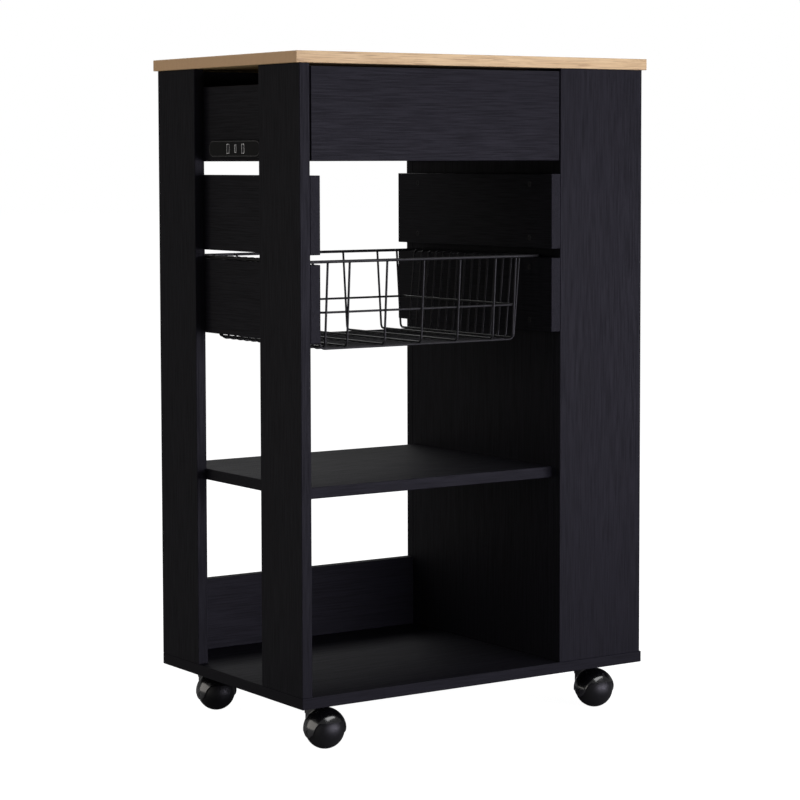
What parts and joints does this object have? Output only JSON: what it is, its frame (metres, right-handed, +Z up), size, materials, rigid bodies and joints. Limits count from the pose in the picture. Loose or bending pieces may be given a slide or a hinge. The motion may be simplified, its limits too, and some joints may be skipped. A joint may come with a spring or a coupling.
{
  "type": "kitchen island cart",
  "caption": "Rolling kitchen island cart with a drawer, sliding wire basket, open shelves, side compartment and charging strip.",
  "frame": {"origin": "on the floor, under the middle of the worktop", "axes": "+X to the right, +Y to the back (the drawer opens towards -Y), +Z up"},
  "size_m": [0.568, 0.375, 0.9],
  "materials": {
    "black_board": "charcoal woodgrain laminate",
    "oak_top": "oak-effect laminate",
    "zinc_steel": "zinc plated",
    "hardboard": "dark-faced hardboard",
    "black_wire": "black powder coat",
    "black_plastic": "matte moulded",
    "port_metal": "nickel-plated shell",
    "caster_steel": "black plated",
    "caster_gloss": "gloss moulded"
  },
  "bodies": {
    "cart": {"worktop": "oak_top", "bottom_panel": "black_board", "front_left_post": "black_board", "rear_left_post": "black_board", "inner_wall": "black_board", "front_right_panel": "black_board", "rear_right_panel": "black_board", "middle_shelf": "black_board", "low_back_board": "black_board", "top_rear_stretcher": "black_board", "left_drawer_rail": "black_board", "right_drawer_rail": "black_board", "left_upper_basket_rail": "black_board", "right_upper_basket_rail": "black_board", "left_lower_basket_rail": "black_board", "right_lower_basket_rail": "black_board", "lower_side_shelf": "black_board", "upper_side_shelf": "black_board", "side_guard_rods": "black_wire", "shelf_pins": "zinc_steel", "carcass_screws": "zinc_steel", "rail_screws": "caster_steel", "cam_bolts": "zinc_steel", "cam_locks": "zinc_steel", "caster_screws": "zinc_steel", "charging_strip_housing": "black_plastic", "charging_strip_face": "black_plastic", "charging_ports": "port_metal", "left_cabinet_slide": "zinc_steel", "right_cabinet_slide": "zinc_steel", "front_left_caster_plate": "caster_steel", "rear_left_caster_plate": "caster_steel", "front_right_caster_plate": "caster_steel", "rear_right_caster_plate": "caster_steel"},
    "drawer": {"drawer_front": "black_board", "drawer_left_side": "black_board", "drawer_right_side": "black_board", "drawer_back": "black_board", "drawer_bottom": "hardboard", "drawer_screws": "zinc_steel", "left_drawer_slide": "zinc_steel", "right_drawer_slide": "zinc_steel"},
    "left_middle_slide": {"left_middle_slide": "zinc_steel"},
    "right_middle_slide": {"right_middle_slide": "zinc_steel"},
    "basket": {"basket_rim": "black_wire", "basket_hoop": "black_wire", "basket_cross_wires": "black_wire", "basket_long_wires": "black_wire"},
    "front_left_swivel": {"front_left_caster_hood": "caster_gloss", "front_left_caster_axle": "zinc_steel"},
    "front_left_ball": {"front_left_caster_ball": "caster_gloss"},
    "front_right_swivel": {"front_right_caster_hood": "caster_gloss", "front_right_caster_axle": "zinc_steel"},
    "front_right_ball": {"front_right_caster_ball": "caster_gloss"},
    "rear_left_swivel": {"rear_left_caster_hood": "caster_gloss", "rear_left_caster_axle": "zinc_steel"},
    "rear_left_ball": {"rear_left_caster_ball": "caster_gloss"},
    "rear_right_swivel": {"rear_right_caster_hood": "caster_gloss", "rear_right_caster_axle": "zinc_steel"},
    "rear_right_ball": {"rear_right_caster_ball": "caster_gloss"}
  },
  "joints": [
    {"name": "drawer_travel", "type": "slide", "parent": "cart", "child": "drawer", "axis": [0, -1, 0], "range_m": [0, 0.25]},
    {"name": "left_slide_travel", "type": "slide", "parent": "cart", "child": "left_middle_slide", "axis": [0, -1, 0], "range_m": [0, 0.125]},
    {"name": "right_slide_travel", "type": "slide", "parent": "cart", "child": "right_middle_slide", "axis": [0, -1, 0], "range_m": [0, 0.125]},
    {"name": "basket_travel", "type": "slide", "parent": "cart", "child": "basket", "axis": [0, -1, 0], "range_m": [0, 0.22]},
    {"name": "front_left_swivel", "type": "hinge", "parent": "cart", "child": "front_left_swivel", "pos_m": [-0.23, -0.1425, 0.05], "axis": [0, 0, 1], "continuous": true},
    {"name": "front_left_roll", "type": "hinge", "parent": "front_left_swivel", "child": "front_left_ball", "pos_m": [-0.23, -0.1615, 0.026], "axis": [1, 0, 0], "continuous": true},
    {"name": "front_right_swivel", "type": "hinge", "parent": "cart", "child": "front_right_swivel", "pos_m": [0.215, -0.1425, 0.05], "axis": [0, 0, 1], "continuous": true},
    {"name": "front_right_roll", "type": "hinge", "parent": "front_right_swivel", "child": "front_right_ball", "pos_m": [0.215, -0.1615, 0.026], "axis": [1, 0, 0], "continuous": true},
    {"name": "rear_left_swivel", "type": "hinge", "parent": "cart", "child": "rear_left_swivel", "pos_m": [-0.23, 0.1395, 0.05], "axis": [0, 0, 1], "continuous": true},
    {"name": "rear_left_roll", "type": "hinge", "parent": "rear_left_swivel", "child": "rear_left_ball", "pos_m": [-0.23, 0.1205, 0.026], "axis": [1, 0, 0], "continuous": true},
    {"name": "rear_right_swivel", "type": "hinge", "parent": "cart", "child": "rear_right_swivel", "pos_m": [0.215, 0.1395, 0.05], "axis": [0, 0, 1], "continuous": true},
    {"name": "rear_right_roll", "type": "hinge", "parent": "rear_right_swivel", "child": "rear_right_ball", "pos_m": [0.215, 0.1205, 0.026], "axis": [1, 0, 0], "continuous": true}
  ],
  "couplings": [
    {"joint": "left_slide_travel", "follows": "drawer_travel", "ratio": 0.5},
    {"joint": "right_slide_travel", "follows": "drawer_travel", "ratio": 0.5}
  ]
}
